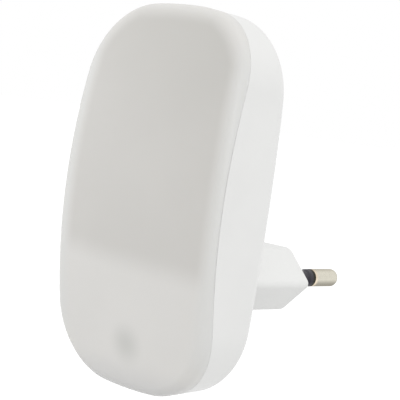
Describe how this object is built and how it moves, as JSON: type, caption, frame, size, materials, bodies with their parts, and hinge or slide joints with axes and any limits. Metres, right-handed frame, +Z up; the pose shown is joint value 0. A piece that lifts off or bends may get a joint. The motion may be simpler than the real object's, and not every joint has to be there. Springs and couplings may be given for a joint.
{
  "type": "plug in night light",
  "caption": "Wall plug night light: bowed rounded casing with a milky front cover, light chamber, light sensor and a six-sided plug block with two sleeved round pins.",
  "frame": {"origin": "centre of the plug block's end face, which meets the wall socket, midway between the two pins", "axes": "+Y into the wall, along the plug; +Z up along the lamp; +X to the right of someone facing the lamp"},
  "size_m": [0.0466, 0.0593, 0.0808],
  "materials": {
    "milky_cover": "satin, translucent",
    "white_casing": "satin",
    "white_plug": "fine matt",
    "white_tray": "matt",
    "plated_brass": "nickel plated, polished",
    "dark_sleeve": "matt",
    "screw_steel": "zinc plated",
    "board_laminate": "solder resist",
    "led_housing": "moulded, pale phosphor",
    "sensor_ceramic": "resin coated ceramic",
    "shroud_rubber": "matt",
    "capacitor_case": "moulded",
    "capacitor_sleeve": "shrink film",
    "epoxy_black": "moulded",
    "resistor_lacquer": "lacquer",
    "diode_glass": "tinted glass",
    "brown_insulation": "extruded",
    "blue_insulation": "extruded",
    "red_insulation": "extruded",
    "black_insulation": "extruded",
    "white_insulation": "extruded"
  },
  "bodies": {
    "root": {"diffuser_cover": "milky_cover", "rear_casing": "white_casing", "reflector_tray": "white_tray", "plug_body": "white_plug", "left_pin": "plated_brass", "right_pin": "plated_brass", "left_pin_sleeve": "dark_sleeve", "right_pin_sleeve": "dark_sleeve", "plug_screws": "screw_steel", "main_board_screws": "screw_steel", "tray_screws": "screw_steel", "led_board_screws": "screw_steel", "main_board": "board_laminate", "led_board": "board_laminate", "led_1": "led_housing", "led_2": "led_housing", "led_3": "led_housing", "led_4": "led_housing", "light_sensor": "sensor_ceramic", "sensor_shroud": "shroud_rubber", "film_capacitor": "capacitor_case", "electrolytic_capacitor": "capacitor_sleeve", "fusible_resistor": "resistor_lacquer", "zener_diode": "diode_glass", "rectifier_bridge": "epoxy_black", "switching_transistor": "epoxy_black", "chip_resistor_1": "epoxy_black", "chip_resistor_2": "epoxy_black", "chip_resistor_3": "epoxy_black", "chip_resistor_4": "epoxy_black", "live_wire": "brown_insulation", "neutral_wire": "blue_insulation", "sensor_wire_left": "white_insulation", "sensor_wire_right": "white_insulation", "led_positive_wire": "red_insulation", "led_negative_wire": "black_insulation"}
  },
  "joints": []
}
